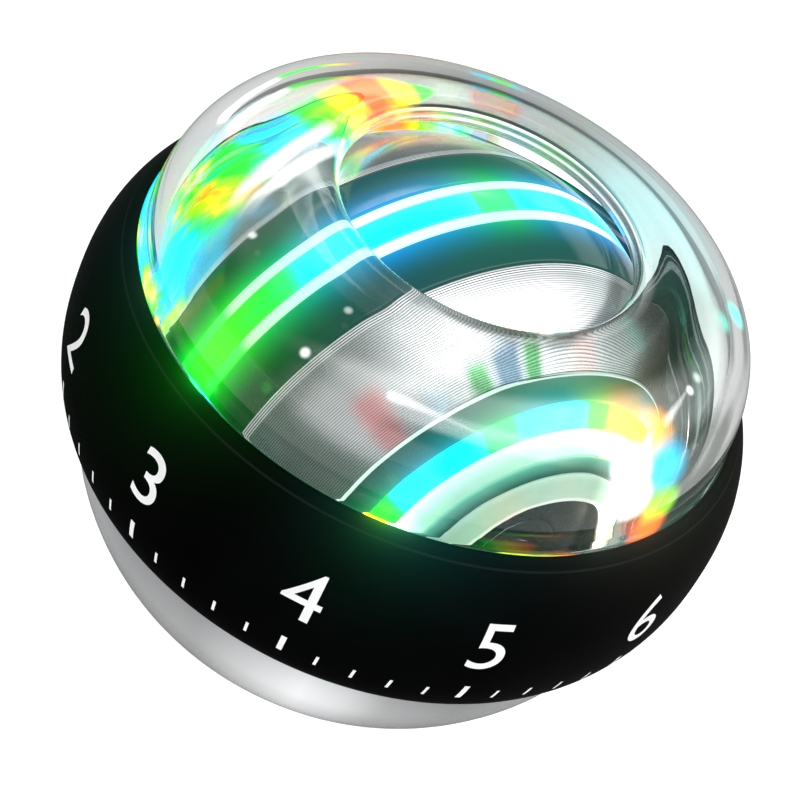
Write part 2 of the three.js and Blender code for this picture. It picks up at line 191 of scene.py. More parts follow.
def finer(points, open_ended, corner, rounding, steps, kept=()):
    """The outline with smooth stretches made finer and its sharp or kept corners rounded."""
    sharp = sharp_corners(points, open_ended, corner, kept)
    if not any(sharp):
        return spline(np.vstack([points, points[:1]]), steps)[:-1]
    curves = smooth_stretches(points, sharp, open_ended, steps)
    result = []
    for k, curve in enumerate(curves):
        along = lengths_along(curve)
        cut = min(rounding, along[-1] * MOST_ROUNDED)
        clear = cut * CLEAR_OF_CORNER
        places = [p for p in along if clear < p < along[-1] - clear]
        places = [cut, cut * 2] + places + [along[-1] - cut * 2, along[-1] - cut]
        if open_ended and k == 0:
            places = [0.0] + places[1:]
        last = open_ended and k == len(curves) - 1
        if last:
            places = places[:-1] + [along[-1]]
        result.extend(point_along(curve, along, p) for p in places)
        if last:
            break
        following = curves[(k + 1) % len(curves)]
        along = lengths_along(following)
        landing = point_along(following, along, min(rounding, along[-1] * MOST_ROUNDED))
        leaving, tip = result[-1], curve[-1]
        for t in (0.25, 0.5, 0.75):
            result.append((1 - t) ** 2 * leaving + 2 * t * (1 - t) * tip + t * t * landing)
    return np.array(result)


def spun(name, outline, axis, sides, open_ended):
    """A mesh object: the outline turned round the ball's Z axis or the wheel's X axis."""
    mesh = bpy.data.meshes.new(name)
    corners, faces, rings = [], [], []
    for r, h in outline:
        if open_ended and r < ON_AXIS:
            rings.append([len(corners)])
            corners.append((0, 0, h) if axis == "z" else (h, 0, CENTRE_HEIGHT))
            continue
        ring = []
        for k in range(sides):
            angle = 2 * math.pi * k / sides
            c, s = r * math.cos(angle), r * math.sin(angle)
            ring.append(len(corners))
            corners.append((c, s, h) if axis == "z" else (h, -c, CENTRE_HEIGHT + s))
        rings.append(ring)
    pairs = list(zip(rings, rings[1:]))
    if not open_ended:
        pairs.append((rings[-1], rings[0]))
    for a, b in pairs:
        for k in range(sides):
            m = (k + 1) % sides
            if len(a) == 1:
                faces.append((a[0], b[m], b[k]))
            elif len(b) == 1:
                faces.append((a[k], a[m], b[0]))
            else:
                faces.append((a[k], a[m], b[m], b[k]))
    mesh.from_pydata(corners, [], faces)
    shape = bmesh.new()
    shape.from_mesh(mesh)
    bmesh.ops.recalc_face_normals(shape, faces=shape.faces)
    if shape.calc_volume(signed=True) < 0:
        bmesh.ops.reverse_faces(shape, faces=shape.faces)
    shape.to_mesh(mesh)
    shape.free()
    mesh.polygons.foreach_set("use_smooth", [True] * len(mesh.polygons))
    piece = bpy.data.objects.new(name, mesh)
    bpy.context.scene.collection.objects.link(piece)
    return piece


def dress(node, axis, material, sides=192, corner=25, rounding=0.15, steps=3, inset=0, kept=()):
    """Stands a finely turned piece in for a node, on the same body."""
    outline, open_ended = section(node, axis)
    outline = finer(outline, open_ended, corner, rounding * MM, steps, kept)
    if inset:
        outline = outline * [1 - inset, 1]
    piece = spun(f"{node}_surface", outline, axis, sides, open_ended)
    piece.data.materials.append(material)
    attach(piece, BODIES[node])
    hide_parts(node)
    return piece


# Print: a plain scale of numbers and ticks round the grip, as on a dial

FIRST_TICK = math.radians(-45)
FIRST_NUMBER = math.radians(-135)
NUMBERS, TICKS, TICKS_PER_NUMBER = 12, 60, 5
NUMBER_HEIGHT = 6.6 * MM
FONT_SIZE_PER_HEIGHT = 1.38
NUMBER_ABOVE_CENTRE = 1.6 * MM
TICK_BOTTOM = -6.9 * MM
LONG_TICK = (0.3 * MM, -4.3 * MM)  # Half width, and top over the ball's centre
SHORT_TICK = (0.16 * MM, -5.2 * MM)
BAND_OUTSIDE = 34.6 * MM
PRINT_CELL = 0.6 * MM
PRINT_PROUD = 0.03 * MM


def flat_number(text, height):
    """A number as a flat mesh in the XY plane, centred on the origin."""
    curve = bpy.data.curves.new("number", "FONT")
    curve.body = text
    curve.align_x = "CENTER"
    curve.align_y = "CENTER"
    curve.size = height * FONT_SIZE_PER_HEIGHT
    carrier = bpy.data.objects.new("number", curve)
    bpy.context.scene.collection.objects.link(carrier)
    graph = bpy.context.evaluated_depsgraph_get()
    mesh = bpy.data.meshes.new_from_object(carrier.evaluated_get(graph))
    bpy.data.objects.remove(carrier)
    bpy.data.curves.remove(curve)
    return mesh


def cut_in_cells(shape, size):
    """Cuts a flat mesh by lines across X and Y, so that it can bend."""
    for axis in (0, 1):
        places = [v.co[axis] for v in shape.verts]
        cut = min(places) + size
        while cut < max(places):
            spot, normal = [0, 0, 0], [0, 0, 0]
            spot[axis], normal[axis] = cut, 1
            everything = shape.verts[:] + shape.edges[:] + shape.faces[:]
            bmesh.ops.bisect_plane(shape, geom=everything, plane_co=spot, plane_no=normal)
            cut += size


def printed_scale(band, material):
    """Numbers from 1 to 12 and ticks between them, lying on the band's outside."""
    shape = bmesh.new()
    for number in range(NUMBERS):
        mesh = flat_number(str(number + 1), NUMBER_HEIGHT)
        before = len(shape.verts)
        shape.from_mesh(mesh)
        bpy.data.meshes.remove(mesh)
        shape.verts.ensure_lookup_table()
        middle = (FIRST_NUMBER + 2 * math.pi * number / NUMBERS) * GRIP_RADIUS
        for v in shape.verts[before:]:
            v.co = (v.co.x + middle, v.co.y + CENTRE_HEIGHT + NUMBER_ABOVE_CENTRE, 0)
    for tick in range(TICKS):
        middle = (FIRST_TICK + 2 * math.pi * tick / TICKS) * GRIP_RADIUS
        half_width, top = SHORT_TICK if tick % TICKS_PER_NUMBER else LONG_TICK
        corners = [
            (-half_width, TICK_BOTTOM), (half_width, TICK_BOTTOM), (half_width, top), (-half_width, top),
        ]
        shape.faces.new([shape.verts.new((middle + x, CENTRE_HEIGHT + y, 0)) for x, y in corners])
    cut_in_cells(shape, PRINT_CELL)
    spots = np.array([v.co for v in band.data.vertices], float)
    radius = np.hypot(spots[:, 0], spots[:, 1])
    outside = {(round(h, 7), round(r, 7)) for h, r in zip(spots[:, 2], radius) if r > BAND_OUTSIDE}
    heights, radii = np.array(sorted(outside)).T
    for v in shape.verts:
        angle = v.co.x / GRIP_RADIUS
        r = float(np.interp(v.co.y, heights, radii)) + PRINT_PROUD
        v.co = (r * math.cos(angle), r * math.sin(angle), v.co.y)
    made = bpy.data.meshes.new("grip_scale")
    shape.normal_update()
    shape.to_mesh(made)
    shape.free()
    made.materials.append(material)
    piece = bpy.data.objects.new("grip_scale", made)
    bpy.context.scene.collection.objects.link(piece)
    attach(piece, "casing")


# Materials

class Nodes:
    """Short calls for the nodes of a tree."""

    def __init__(self, tree):
        self.tree = tree

    def node(self, kind, *values, **settings):
        made = self.tree.nodes.new(kind)
        for key, value in settings.items():
            setattr(made, key, value)
        for i, value in enumerate(values):
            if value is not None:
                self.feed(made.inputs[i], value)
        return made

    def feed(self, socket, value):
        if isinstance(value, bpy.types.NodeSocket):
            self.tree.links.new(value, socket)
        else:
            socket.default_value = value

    def math(self, operation, *values):
        return self.node("ShaderNodeMath", *values, operation=operation).outputs[0]

    def spread(self, value, low, high, to_low=0.0, to_high=1.0, smooth="LINEAR"):
        ends = (low, high, to_low, to_high)
        made = self.node("ShaderNodeMapRange", value, *ends, interpolation_type=smooth)
        return made.outputs[0]

    def ramp(self, value, stops):
        made = self.node("ShaderNodeValToRGB", value)
        points = made.color_ramp.elements
        for i, (place, color) in enumerate(sorted(stops, key=lambda stop: stop[0])):
            point = points[i] if i < 2 else points.new(place)
            point.position = place
            point.color = (*color, 1)
        return made.outputs["Color"]

    def mix(self, share, a, b, blend="MIX"):
        made = self.node("ShaderNodeMix", data_type="RGBA", blend_type=blend)
        self.feed(made.inputs[0], share)
        self.feed(made.inputs[6], (*a, 1) if isinstance(a, tuple) else a)
        self.feed(made.inputs[7], (*b, 1) if isinstance(b, tuple) else b)
        return made.outputs[2]

    def distance(self, a, b):
        return self.node("ShaderNodeVectorMath", a, b, operation="DISTANCE").outputs["Value"]

    def dot(self, a, b):
        return self.node("ShaderNodeVectorMath", a, b, operation="DOT_PRODUCT").outputs["Value"]


class Look(Nodes):
    """A material under construction."""

    def __init__(self, name):
        self.material = bpy.data.materials.new(name)
        self.material.use_nodes = True
        super().__init__(self.material.node_tree)
        self.shader = self.tree.nodes["Principled BSDF"]
        self.place = self.node("ShaderNodeTexCoord").outputs["Object"]

    def set(self, **inputs):
        for key, value in inputs.items():
            self.feed(self.shader.inputs[key.replace("_", " ")], value)

    def noise(self, scale, detail=3.0):
        made = self.node("ShaderNodeTexNoise")
        self.feed(made.inputs["Vector"], self.place)
        made.inputs["Scale"].default_value = scale
        made.inputs["Detail"].default_value = detail
        made.inputs["Roughness"].default_value = 0.55
        return made.outputs["Fac"]

    def vary(self, noise, low=0.0, high=1.0):
        """The middle part of a noise, where nearly all of it lies, spread between two values."""
        return self.spread(noise, 0.3, 0.7, low, high)

    def blotch(self, noise, dark, light):
        return self.ramp(self.vary(noise), [(0.0, dark), (1.0, light)])

    def bump(self, height, distance, strength=1.0):
        made = self.node("ShaderNodeBump")
        made.inputs["Distance"].default_value = distance
        made.inputs["Strength"].default_value = strength
        self.feed(made.inputs["Height"], height)
        return made.outputs["Normal"]

    def coordinate(self, axis):
        return self.node("ShaderNodeSeparateXYZ", self.place).outputs["xyz".index(axis)]

    def height(self):
        """How far above the ball's centre."""
        return self.math("SUBTRACT", self.coordinate("z"), CENTRE_HEIGHT)

    def away(self):
        """How far from the ball's middle along the wheel's axle, to either side."""
        return self.math("ABSOLUTE", self.coordinate("x"))

    def round_share(self, a, b):
        return self.math("ADD", self.math("DIVIDE", self.math("ARCTAN2", a, b), 2 * math.pi), 0.5)

    def turn(self):
        """How far round the wheel's axle, from 0 to 1, with the front at 0.5 and the top at 0.75."""
        front = self.math("MULTIPLY", self.coordinate("y"), -1.0)
        return self.round_share(self.height(), front)

    def heading(self):
        """The direction round the ball's Z axis, from 0 at -X through 0.5 at +X."""
        return self.round_share(self.coordinate("y"), self.coordinate("x"))

    def hypotenuse(self, a, b):
        squares = self.math("ADD", self.math("MULTIPLY", a, a), self.math("MULTIPLY", b, b))
        return self.math("SQRT", squares)

    def round_radius(self, axis):
        if axis == "x":
            return self.hypotenuse(self.coordinate("y"), self.height())
        return self.hypotenuse(self.coordinate("x"), self.coordinate("y"))


def by_angle(stops):
    """Stops given in degrees, from -180 to 180, as places from 0 to 1."""
    return [((angle + 180) / 360, color) for angle, color in stops]


def grey(value):
    return (value, value, value)


# Lamp colours. The lamps are strong, so their weaker part is small where they are seen straight
CYAN = (0.0, 0.6, 1.0)
DEEP_CYAN = (0.0, 0.4, 0.7)
AQUA = (0.0, 1.0, 0.35)
GREEN = (0.004, 1.0, 0.004)
LIME = (0.012, 1.0, 0.001)
MINT = (0.006, 1.0, 0.03)
BLUE = (0.0, 0.1, 1.0)
YELLOW = (1.0, 0.85, 0.0)
AMBER = (1.0, 0.1, 0.0)
ORANGE = (1.0, 0.25, 0.0)
DEEP_ORANGE = (1.0, 0.09, 0.0)
PINK = (0.28, 0.07, 0.06)
BROWN = (0.12, 0.03, 0.012)
RED = (0.8, 0.02, 0.0)
WHITE = (1, 1, 1)
UNLIT = (0.0, 0.006, 0.005)

# Each strip's colours, by degrees round the axle
STRIP_COLORS = [
    (-180, UNLIT), (-140, UNLIT), (-125, YELLOW), (-100, GREEN), (-70, CYAN),
    (-45, BLUE), (-25, CYAN), (6, CYAN), (9, GREEN), (20, LIME), (34, GREEN), (40, MINT),
    (46, AQUA), (50, CYAN), (75, CYAN), (80, AQUA), (84, MINT), (93, MINT), (96, CYAN),
    (122, CYAN), (131, BLUE), (140, (0.0, 0.03, 0.06)), (148, UNLIT), (180, UNLIT),
]
SIDE_COLORS = [
    (-180, RED), (-150, ORANGE), (-120, YELLOW), (-90, GREEN), (-60, CYAN), (-20, CYAN),
    (0, GREEN), (10, AMBER), (13, YELLOW), (17, YELLOW), (19, GREEN), (28, GREEN), (31, CYAN),
    (57, CYAN), (61, MINT), (73, MINT), (76, CYAN), (96, CYAN), (99, LIME), (109, LIME),
    (114, YELLOW), (121, YELLOW), (127, ORANGE), (132, ORANGE), (137, YELLOW), (142, CYAN),
    (156, CYAN), (164, GREEN), (172, YELLOW),
]
EDGE_DARK = (0.01, 0.04, 0.035)
EDGE_COLORS = [
    (-180, EDGE_DARK), (-140, EDGE_DARK), (-100, CYAN), (6, CYAN), (10, GREEN), (24, GREEN),
    (27, (0.5, 1.0, 0.45)), (45, (0.5, 1.0, 0.8)), (60, (0.6, 1.0, 0.92)), (88, (0.35, 1.0, 0.5)),
    (100, (0.5, 1.0, 0.92)), (118, (0.7, 1.0, 1.0)), (128, CYAN), (138, (0.0, 0.04, 0.06)),
    (146, EDGE_DARK), (180, EDGE_DARK),
]

# Light from the wheel painted as glow on the inside of the casing, by heading in degrees
INSIDE_COLORS = [
    (-180, CYAN), (-168, CYAN), (-165, GREEN), (-158, GREEN), (-156, YELLOW), (-154, ORANGE),
    (-152, YELLOW), (-150, GREEN), (-143, GREEN), (-139, CYAN), (-123, CYAN), (-120, GREEN),
    (-117, YELLOW), (-113, GREEN),
    (-108, (0.0, 0.06, 0.02)), (-90, (0.0, 0.03, 0.02)), (-20, (0.0, 0.05, 0.01)), (-14, GREEN),
    (-10, YELLOW), (-6, ORANGE), (-3, (0.008, 0.028, 0.017)), (60, (0.005, 0.02, 0.016)),
    (120, (0.005, 0.02, 0.016)), (131, GREEN), (137, CYAN), (143, GREEN), (150, YELLOW),
    (158, ORANGE), (167, ORANGE), (170, YELLOW), (175, GREEN), (178, CYAN),
]


def light_strip(name, colors):
    look = Look(name)
    speck = look.noise(900.0, 2.0)
    shade = look.blotch(speck, grey(0.86), WHITE)
    glow = look.mix(1.0, look.ramp(look.turn(), by_angle(colors)), shade, "MULTIPLY")
    look.set(
        Base_Color=glow,
        Emission_Color=glow,
        Emission_Strength=8.0,
        Roughness=look.vary(speck, 0.1, 0.2),
    )
    return look.material


def edge_lines():
    look = Look("edge lines")
    look.set(
        Base_Color=(0.3, 0.35, 0.34, 1),
        Emission_Color=look.ramp(look.turn(), by_angle(EDGE_COLORS)),
        Emission_Strength=1.15,
        Roughness=look.vary(look.noise(1400.0, 2.0), 0.12, 0.24),
    )
    return look.material


def smoked(name, glow_colors, far_colors, glow_from, glow_to, edge=None):
    """Dark glossy plastic with a strip's light painted on as glow, fading away from it over a stretch
    of the axle in mm. An edge nearer to the wheel's middle than that value gets a painted highlight."""
    look = Look(name)
    away = look.away()
    near = look.math("POWER", look.spread(away, glow_to * MM, glow_from * MM), 2.0)
    glow = look.ramp(look.turn(), by_angle(glow_colors))
    light = look.mix(near, look.ramp(look.turn(), by_angle(far_colors)), glow)
    if edge:
        light = look.mix(look.math("LESS_THAN", away, edge * MM), light, (0.8, 1.0, 0.9))
    look.set(
        Base_Color=look.blotch(look.noise(160.0, 2.0), (0.004, 0.014, 0.012), (0.006, 0.02, 0.017)),
        Emission_Color=light,
        Emission_Strength=1.0,
        Roughness=look.vary(look.noise(700.0), 0.06, 0.14),
        Specular_IOR_Level=0.35,
    )
    return look.material


# Painted coloured reflections on the plates, and painted shade at 145 degrees: degrees round the axle,
# half width, start along the surface in mm, tint. Each fades in over PATCH_FADE, also in mm
PAINTED_METAL_PATCHES = [
    (66, 4.5, 15.0, (0.14, 0.34, 0.16)), (74, 6.0, 14.5, (0.15, 0.21, 0.28)),
    (81, 3.5, 15.0, (0.12, 0.34, 0.14)), (97, 6.0, 14.0, (0.8, 0.62, 0.6)),
    (40, 5.5, 12.5, (0.85, 0.4, 0.4)), (145, 40.0, 0.0, (0.13, 0.13, 0.1)),
]
PATCH_FADE = 2.5
GROOVE_PITCH = 0.24 * MM
PLATE_LIP = (8.9 * MM, 9.1 * MM)


def spun_metal():
    look = Look("spun metal")
    slope = look.math("ARCTAN2", look.away(), look.round_radius("x"))
    along = look.math("MULTIPLY", slope, ROTOR_RADIUS)
    turn = look.turn()
    wave = look.math("SINE", look.math("MULTIPLY", along, 2 * math.pi / GROOVE_PITCH))
    grooves = look.ramp(look.spread(wave, -1.0, 1.0), [(0.1, grey(0.06)), (0.7, WHITE)])
    # Painted light: the plate glows faintly all over and brightly out to PLATE_LIP from the wheel's
    # middle, where its grooves show fully
    lip = look.spread(along, *PLATE_LIP, 1.0, 0.0)
    cloud = look.noise(140.0, 2.0)
    base = look.blotch(cloud, (0.66, 0.67, 0.68), (0.78, 0.79, 0.8))
    # Painted reflections and painted shade laid over the metal's colour
    for angle, half_width, start, tint in PAINTED_METAL_PATCHES:
        off = look.math("ABSOLUTE", look.math("SUBTRACT", turn, (angle + 180) / 360))
        across = look.spread(off, 0.25 * half_width / 360, 1.1 * half_width / 360, 1, 0, "SMOOTHSTEP")
        down = look.spread(along, start * MM, (start + PATCH_FADE) * MM, 0, 1, "SMOOTHSTEP")
        base = look.mix(look.math("MULTIPLY", across, down), base, tint)
    color = look.mix(look.spread(lip, 0.0, 1.0, 0.6, 1.0), base, grooves, "MULTIPLY")
    look.set(
        Base_Color=color,
        Metallic=1.0,
        Roughness=look.vary(cloud, 0.24, 0.3),
        Anisotropic=0.5,
        Emission_Color=color,
        Emission_Strength=look.spread(lip, 0.0, 1.0, 0.13, 0.7),
    )
    tangent = look.node("ShaderNodeTangent", direction_type="RADIAL", axis="X")
    look.feed(look.shader.inputs["Tangent"], tangent.outputs[0])
    return look.material


# Light painted on the dome's thick wall as glow and tint, for the strips' light that it refracts
# and mirrors. Each band runs round the mouth: stops of heading and value for its tilt from the
# mouth's axis, its half width, its level and its colour
FIN = {
    "tilt": [
        (-180, 36.5), (-175, 37), (-167, 38), (-155, 38), (-145, 39), (-138, 40.5), (-130, 42.5),
        (-122, 46.5), (-116, 49), (-110, 50), (-106, 52), (-102, 58), (-98, 63), (-92, 66),
        (140, 37), (162, 37), (180, 36.5),
    ],
    "half": [
        (-180, 3.2), (-174, 4.5), (-155, 5.0), (-145, 4.4), (-138, 4.2), (-130, 4.2), (-116, 5.5),
        (-106, 5.5), (-102, 7), (-98, 8), (-92, 6), (140, 3.5), (160, 3.5), (168, 0.6), (174, 1.6),
        (180, 3.2),
    ],
    "level": [
        (-180, 0.75), (-160, 0.9), (-150, 0.6), (-140, 0.42), (-120, 0.35), (-104, 0.5),
        (-98, 0.6), (-92, 0.0), (140, 0.0), (144, 0.4), (157, 0.4), (160, 0.0), (170, 0.0),
        (175, 0.6), (180, 0.75),
    ],
    "color": [
        (-180, YELLOW), (-174, YELLOW), (-171, DEEP_ORANGE), (-160, DEEP_ORANGE), (-157, YELLOW),
        (-151, YELLOW), (-148, GREEN), (-138, GREEN), (-134, CYAN), (-124, CYAN), (-121, GREEN),
        (-111, GREEN), (-109, ORANGE), (-106, ORANGE), (-105, YELLOW), (-103, GREEN), (-100, CYAN),
        (140, PINK), (168, PINK), (170, GREEN), (178, GREEN), (180, YELLOW),
    ],
}
STREAK = {
    "tilt": [
        (-140, 36.6), (-135, 37), (-129, 38.2), (-119, 41.2), (-110, 44.6), (-106, 47.2), (-101, 49.5),
    ],
    "half": [(-140, 1.8), (-100, 1.8)],
    "level": [(-142, 0.0), (-136, 0.7), (-128, 1.0), (-110, 1.0), (-104, 0.3), (-100, 0.0)],
    "color": [(-180, WHITE), (180, WHITE)],
}
EDGE = {
    "tilt": [
        (-170, 45.8), (-165, 46.9), (-160, 47.9), (-153, 49.1), (-148, 49.4), (-142, 50.4),
        (-133, 52.0), (140, 45.3), (158, 45.3),
    ],
    "half": [(-172, 0.5), (-150, 0.9), (-142, 1.1), (-133, 1.3), (140, 1.1), (158, 1.1)],
    "level": [
        (-174, 0.0), (-168, 0.5), (-152, 0.6), (-149, 1.0), (-146, 0.6), (-144, 1.0), (-140, 1.0),
        (-138, 0.3), (-136, 1.0), (-132, 1.0), (-129, 0.0), (141, 0.0), (144, 0.4), (154, 0.4),
        (157, 0.0),
    ],
    "color": [
        (-171, ORANGE), (-167, YELLOW), (-162, LIME), (-152, GREEN), (-150, WHITE), (-130, WHITE),
        (143, CYAN), (146, GREEN), (149, LIME), (152, CYAN), (158, CYAN),
    ],
}
LIP = {
    "tilt": [(-180, 33.4), (180, 33.4)],
    "half": [(-180, 0.15), (180, 0.15)],
    "level": [(-180, 0.4), (-165, 0.0), (60, 0.0), (75, 0.5), (160, 0.7), (180, 0.4)],
    "color": [(-180, WHITE), (180, WHITE)],
}
BACK = {
    "tilt": [(140, 66.8), (147, 67.4), (151, 67.8), (157, 69.2), (164, 72.4), (168, 74)],
    "half": [(140, 1.6), (147, 2.0), (157, 2.4), (164, 3.2), (168, 3)],
    "level": [(139, 0.0), (142, 0.6), (150, 0.75), (164, 0.8), (168, 0.0)],
    "color": [
        (141, (0.25, 0.3, 0.15)), (143, BROWN), (147.3, BROWN), (148.3, GREEN), (149.6, GREEN),
        (150.6, DEEP_CYAN), (154, DEEP_CYAN), (155, GREEN), (158, GREEN), (159.4, YELLOW),
        (160.8, AMBER), (165, AMBER), (167, YELLOW),
    ],
}
# A painted dark reflection of the room: a streak that darkens the wall's tint
PAINTED_DARK_STREAK = {
    "tilt": [
        (17, 66), (24, 63), (28, 59.5), (33, 57.5), (38, 56), (50, 55), (55, 53.8), (68, 51.9),
        (80, 50.8),
    ],
    "half": [
        (17, 5), (24, 6.5), (28, 5), (33, 3), (38, 1.4), (50, 1.8), (55, 2.0), (68, 1.2), (80, 0.3),
    ],
    "level": [
        (11, 0.0), (18, 0.9), (33, 0.9), (38, 0.3), (46, 0.3), (52, 0.85), (68, 0.85), (82, 0.0),
    ],
    "color": [(-180, (0.1, 0.13, 0.11)), (180, (0.1, 0.13, 0.11))],
}
# Painted rays of light across the wall: both ends and half width in mm, level
PAINTED_RAYS = [
    ((19.3, -20.7, 54.4), (24.9, -13.9, 54.3), 0.75, 0.55),
    ((26.9, 6.2, 54.8), (24.0, 10.4, 55.8), 0.8, 0.9),
]
# Painted glints and spots of light: centre and radius in mm, colour, level
PAINTED_SPOTS = [
    ((27.6, 4.6, 54.5), 3.4, (1.0, 0.4, 0.0), 1.7),
    ((29.9, 6.4, 51.9), 3.8, CYAN, 1.3),
    ((31.1, 6.8, 47.6), 3.2, (0.3, 1.0, 0.0), 1.4),
    ((31.4, 6.5, 44.4), 3.2, (1.0, 0.12, 0.0), 2.0),
    ((30.2, 1.6, 52.5), 3.2, WHITE, 3.0),
    ((31.4, 2.4, 49.6), 3.0, WHITE, 3.0),
    ((22.7, 12.4, 55.9), 0.8, WHITE, 0.6),
    ((24.0, 10.8, 55.7), 0.7, WHITE, 1.3),
    ((14.4, 23.4, 55.0), 2.0, (0.0, 1.0, 0.75), 1.1),
    ((6.2, -31.8, 42.9), 1.4, (0.02, 1.0, 0.08), 5.0),
    ((25.3, -20.3, 42.7), 1.2, (0.7, 1.0, 0.0), 2.0),
    ((-2.4, -32.2, 43.6), 0.8, (1.0, 0.4, 0.0), 1.5),
    ((-3.0, -31.9, 45.2), 1.8, (0.0, 1.0, 0.1), 0.7),
    ((12.4, -26.3, 53.7), 0.7, WHITE, 1.2),
    ((10.3, -21.7, 56.6), 0.6, WHITE, 0.5),
    ((-1.1, -26.3, 55.7), 0.6, WHITE, 0.8),
]


def painted_dome_light(look, tint):
    """The plastic's colour and painted glow, with painted bands round the mouth, rays and spots laid
    over them.
    """
    heading = look.heading()
    tilt = look.math("ARCTAN2", look.round_radius("z"), look.height())
    tilt = look.math("MULTIPLY", tilt, 2 / math.pi)

    def curve(stops, scale):
        return look.ramp(heading, by_angle([(angle, grey(value / scale)) for angle, value in stops]))

    def share_of(band):
        off = look.math("ABSOLUTE", look.math("SUBTRACT", tilt, curve(band["tilt"], 90)))
        off = look.math("DIVIDE", off, curve(band["half"], 90))
        share = look.spread(off, 0.3, 1, 1, 0, "SMOOTHSTEP")
        color = look.ramp(heading, by_angle(band["color"]))
        return look.math("MULTIPLY", share, curve(band["level"], 1)), color

    # The painted dark streak darkens the tint first
    level, color = share_of(PAINTED_DARK_STREAK)
    tint = look.mix(level, tint, color)
    glow = (0, 0, 0)
    for band in (FIN, STREAK, EDGE, LIP, BACK):
        level, color = share_of(band)
        glow = look.mix(level, glow, color)
        tint = look.mix(look.spread(level, 0, 0.35, 0, 0.92), tint, color)
    for start, end, radius, level in PAINTED_RAYS:
        start, end = Vector(start) * MM, Vector(end) * MM
        length = end - start
        off = look.node("ShaderNodeVectorMath", look.place, tuple(start), operation="SUBTRACT")
        off = off.outputs["Vector"]
        t = look.spread(look.dot(off, tuple(length / length.length_squared)), 0, 1)
        nearest = look.node("ShaderNodeVectorMath", tuple(length), operation="SCALE")
        look.feed(nearest.inputs["Scale"], t)
        far = look.distance(off, nearest.outputs["Vector"])
        width = look.spread(t, 0.1, 1, radius * MM, 0.3 * radius * MM)
        share = look.spread(look.math("DIVIDE", far, width), 0.0, 1, 1, 0, "SMOOTHSTEP")
        share = look.math("MULTIPLY", share, look.spread(t, 0.3, 1, 1, 0.25))
        glow = look.mix(share, glow, grey(level))
    for centre, radius, color, level in PAINTED_SPOTS:
        far = look.distance(look.place, tuple(c * MM for c in centre))
        share = look.spread(far, 0.2 * radius * MM, radius * MM, 1, 0, "SMOOTHSTEP")
        glow = look.mix(share, glow, tuple(level * c for c in color))
        tint = look.mix(look.math("MULTIPLY", share, 0.7), tint, color)
    return tint, glow


# The rolled mouth's painted shade and painted reflected colour, by heading in degrees
LIP_PAINTED_SHADE = [
    (-180, (0.4, 0.4, 0.38)), (-150, (0.7, 0.72, 0.7)), (-90, (0.9, 0.92, 0.915)),
    (20, (0.9, 0.92, 0.915)), (33, (0.5, 0.58, 0.55)), (53, (0.35, 0.55, 0.48)),
    (62, (0.5, 0.8, 0.76)), (85, (0.38, 0.88, 0.88)), (100, (0.34, 0.74, 0.74)),
    (111, (0.28, 0.44, 0.44)), (124, (0.24, 0.26, 0.255)), (160, (0.24, 0.25, 0.235)),
    (180, (0.4, 0.4, 0.38)),
]
MOUTH_HEIGHTS = (55 * MM, 57 * MM)


def clear_plastic():
    look = Look("clear plastic")
    lip = look.ramp(look.heading(), by_angle(LIP_PAINTED_SHADE))
    in_lip = look.spread(look.coordinate("z"), *MOUTH_HEIGHTS)
    tint, glow = painted_dome_light(look, look.mix(in_lip, (0.94, 0.955, 0.95), lip))
    look.set(
        Base_Color=tint,
        Emission_Color=glow,
        Emission_Strength=1.0,
        Roughness=0.0,
        IOR=1.5,
        Transmission_Weight=1.0,
        Normal=look.bump(look.noise(45.0, 1.0), 0.01 * MM, 0.4),
    )
    # Light reaches what lies inside, because shadow rays pass straight through
    lamp = look.node("ShaderNodeLightPath")
    clear = look.node("ShaderNodeBsdfTransparent", (0.93, 0.95, 0.95, 1))
    both = look.node("ShaderNodeMixShader", lamp.outputs["Is Shadow Ray"])
    look.feed(both.inputs[1], look.shader.outputs[0])
    look.feed(both.inputs[2], clear.outputs[0])
    look.feed(look.tree.nodes["Material Output"].inputs["Surface"], both.outputs[0])
    look.material.cycles.emission_sampling = "NONE"
    return look.material


# The bowl's painted shade by heading in degrees, and its two fine turned lines: height and half width
BOWL_PAINTED_SHADE = [
    (-150, grey(0.85)), (-80, grey(0.42)), (-60, grey(0.44)), (-48, grey(0.72)), (-38, grey(0.95)),
    (-30, grey(0.82)), (-22, grey(0.5)), (-8, grey(0.38)), (60, grey(0.8)),
]
BOWL_TOP = 22 * MM
BOWL_LINES = [(9 * MM, 0.1 * MM), (6.2 * MM, 0.07 * MM)]


